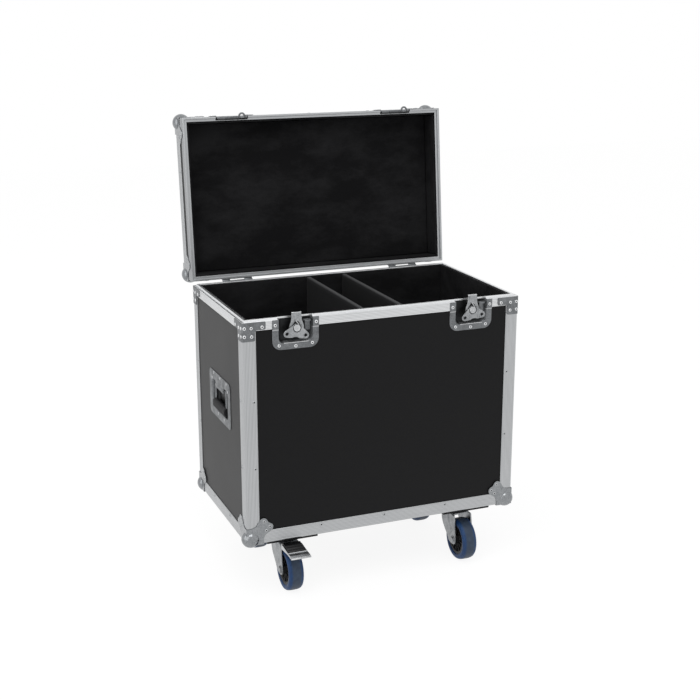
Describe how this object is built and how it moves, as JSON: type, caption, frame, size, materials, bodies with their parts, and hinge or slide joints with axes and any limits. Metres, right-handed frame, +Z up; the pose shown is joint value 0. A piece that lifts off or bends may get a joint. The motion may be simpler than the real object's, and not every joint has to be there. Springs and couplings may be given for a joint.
{
  "type": "flight case",
  "caption": "Wheeled flight case with a hinged lid, twist latches, sprung side handles, a foam-lined inside with dividers, and swivel castors with foot brakes.",
  "frame": {"origin": "on the floor under the middle of the outline of the case with its lid open", "axes": "+X to the right seen from the latch side, +Y towards the hinge side, +Z up"},
  "size_m": [0.6784, 0.5537, 1.0436],
  "materials": {
    "laminate": "black textured laminate",
    "edging": "fine ribbed natural aluminium",
    "fitting_steel": "dull zinc-plated steel",
    "bright_steel": "bright zinc-plated steel",
    "zinc_fork": "zinc-plated pressed steel",
    "foam": "soft black foam",
    "divider_fabric": "dark felt on a stiff board",
    "grip_black": "matt black moulded grip",
    "wheel_core": "black nylon",
    "tyre_blue": "blue elastic rubber"
  },
  "bodies": {
    "case": {"front_panel": "laminate", "back_panel": "laminate", "left_panel": "laminate", "right_panel": "laminate", "base_panel": "laminate", "case_edge_frame": "edging", "case_rim": "edging", "corner_brace_front_left": "fitting_steel", "corner_brace_front_right": "fitting_steel", "corner_brace_back_left": "fitting_steel", "corner_brace_back_right": "fitting_steel", "case_corner_front_left": "fitting_steel", "case_corner_front_right": "fitting_steel", "case_corner_back_left": "fitting_steel", "case_corner_back_right": "fitting_steel", "case_lining": "foam", "divider_left": "divider_fabric", "divider_right": "divider_fabric", "latch_dish_left": "fitting_steel", "latch_dish_right": "fitting_steel", "handle_dish_left": "fitting_steel", "handle_dish_right": "fitting_steel", "hinge_lower_left": "fitting_steel", "hinge_lower_right": "fitting_steel", "castor_plate_front_left": "zinc_fork", "castor_plate_front_right": "zinc_fork", "castor_plate_back_left": "zinc_fork", "castor_plate_back_right": "zinc_fork"},
    "lid": {"lid_shell": "laminate", "lid_edge_frame": "edging", "lid_rim": "edging", "lid_lining": "foam", "lid_corner_front_left": "fitting_steel", "lid_corner_front_right": "fitting_steel", "lid_corner_back_left": "fitting_steel", "lid_corner_back_right": "fitting_steel", "lid_latch_dish_left": "fitting_steel", "lid_latch_dish_right": "fitting_steel", "hinge_upper_left": "fitting_steel", "hinge_upper_right": "fitting_steel"},
    "latch_wing_left": {"latch_wing_left": "fitting_steel"},
    "latch_hook_left": {"latch_hook_left": "bright_steel"},
    "handle_grip_left": {"handle_grip_left": "grip_black"},
    "latch_wing_right": {"latch_wing_right": "fitting_steel"},
    "latch_hook_right": {"latch_hook_right": "bright_steel"},
    "handle_grip_right": {"handle_grip_right": "grip_black"},
    "fork_front_left": {"castor_fork_front_left": "zinc_fork"},
    "wheel_front_left": {"wheel_core_front_left": "wheel_core", "wheel_tyre_front_left": "tyre_blue"},
    "pedal_front_left": {"brake_pedal_front_left": "zinc_fork"},
    "fork_front_right": {"castor_fork_front_right": "zinc_fork"},
    "wheel_front_right": {"wheel_core_front_right": "wheel_core", "wheel_tyre_front_right": "tyre_blue"},
    "fork_back_left": {"castor_fork_back_left": "zinc_fork"},
    "wheel_back_left": {"wheel_core_back_left": "wheel_core", "wheel_tyre_back_left": "tyre_blue"},
    "fork_back_right": {"castor_fork_back_right": "zinc_fork"},
    "wheel_back_right": {"wheel_core_back_right": "wheel_core", "wheel_tyre_back_right": "tyre_blue"},
    "pedal_back_right": {"brake_pedal_back_right": "zinc_fork"}
  },
  "joints": [
    {"name": "lid_hinge", "type": "hinge", "parent": "case", "child": "lid", "pos_m": [0, 0.15971, 0.6472], "axis": [1, 0, 0], "range_deg": [0, 95.6]},
    {"name": "wing_left_twist", "type": "hinge", "parent": "case", "child": "latch_wing_left", "pos_m": [-0.2105, -0.24079, 0.628], "axis": [0, 1, 0], "range_deg": [0, 180]},
    {"name": "hook_left_slide", "type": "slide", "parent": "case", "child": "latch_hook_left", "axis": [0, 0.53, -0.848], "range_m": [0, 0.00945]},
    {"name": "handle_left_swing", "type": "hinge", "parent": "case", "child": "handle_grip_left", "pos_m": [-0.3257, -0.04609, 0.4515], "axis": [0, 1, 0], "range_deg": [0, 85], "stiffness_Nm_per_rad": 0.15},
    {"name": "wing_right_twist", "type": "hinge", "parent": "case", "child": "latch_wing_right", "pos_m": [0.2105, -0.24079, 0.628], "axis": [0, 1, 0], "range_deg": [0, 180]},
    {"name": "hook_right_slide", "type": "slide", "parent": "case", "child": "latch_hook_right", "axis": [0, 0.53, -0.848], "range_m": [0, 0.00945]},
    {"name": "handle_right_swing", "type": "hinge", "parent": "case", "child": "handle_grip_right", "pos_m": [0.3257, -0.04609, 0.4515], "axis": [0, -1, 0], "range_deg": [0, 85], "stiffness_Nm_per_rad": 0.15},
    {"name": "castor_front_left_swivel", "type": "hinge", "parent": "case", "child": "fork_front_left", "pos_m": [-0.219, -0.16339, 0.128], "axis": [0, 0, 1], "continuous": true},
    {"name": "wheel_front_left_spin", "type": "hinge", "parent": "fork_front_left", "child": "wheel_front_left", "pos_m": [-0.219, -0.19639, 0.05], "axis": [1, 0, 0], "continuous": true},
    {"name": "pedal_front_left_press", "type": "hinge", "parent": "fork_front_left", "child": "pedal_front_left", "pos_m": [-0.219, -0.18939, 0.104], "axis": [1, 0, 0], "range_deg": [0, 10]},
    {"name": "castor_front_right_swivel", "type": "hinge", "parent": "case", "child": "fork_front_right", "pos_m": [0.219, -0.16339, 0.128], "axis": [0, 0, 1], "continuous": true},
    {"name": "wheel_front_right_spin", "type": "hinge", "parent": "fork_front_right", "child": "wheel_front_right", "pos_m": [0.219, -0.19639, 0.05], "axis": [1, 0, 0], "continuous": true},
    {"name": "castor_back_left_swivel", "type": "hinge", "parent": "case", "child": "fork_back_left", "pos_m": [-0.219, 0.08461, 0.128], "axis": [0, 0, 1], "continuous": true},
    {"name": "wheel_back_left_spin", "type": "hinge", "parent": "fork_back_left", "child": "wheel_back_left", "pos_m": [-0.219, 0.05161, 0.05], "axis": [1, 0, 0], "continuous": true},
    {"name": "castor_back_right_swivel", "type": "hinge", "parent": "case", "child": "fork_back_right", "pos_m": [0.219, 0.08461, 0.128], "axis": [0, 0, 1], "continuous": true},
    {"name": "wheel_back_right_spin", "type": "hinge", "parent": "fork_back_right", "child": "wheel_back_right", "pos_m": [0.219, 0.05161, 0.05], "axis": [1, 0, 0], "continuous": true},
    {"name": "pedal_back_right_press", "type": "hinge", "parent": "fork_back_right", "child": "pedal_back_right", "pos_m": [0.219, 0.05861, 0.104], "axis": [1, 0, 0], "range_deg": [0, 10]}
  ],
  "couplings": [
    {"joint": "hook_left_slide", "follows": "wing_left_twist", "m_per_rad": 0.0030029},
    {"joint": "hook_right_slide", "follows": "wing_right_twist", "m_per_rad": 0.0030029}
  ]
}
